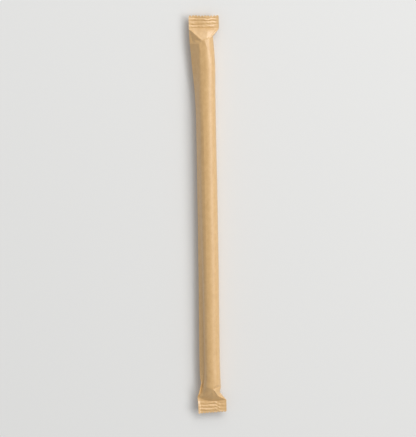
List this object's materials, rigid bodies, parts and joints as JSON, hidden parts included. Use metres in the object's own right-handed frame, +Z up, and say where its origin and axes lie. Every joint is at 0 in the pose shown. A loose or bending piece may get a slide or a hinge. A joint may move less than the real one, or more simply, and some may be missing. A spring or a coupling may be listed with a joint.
{
  "type": "wrapped drinking straw",
  "caption": "Drinking straw sealed in a loose kraft paper sleeve, pressed flat into ridged, saw-toothed seals at both ends; it lies on its underside.",
  "frame": {"origin": "on the table, under the middle of the wrapper", "axes": "+Y along the straw towards the head end, where the empty paper is; +Z up, out of the front face; +X to the right of the front face seen with the head end up"},
  "size_m": [0.016, 0.225, 0.0097],
  "materials": {
    "kraft_paper": "smooth unbleached kraft paper with a soft satin sheen and fine fibre mottling"
  },
  "bodies": {
    "root": {"wrapped_straw": "kraft_paper"}
  },
  "joints": []
}
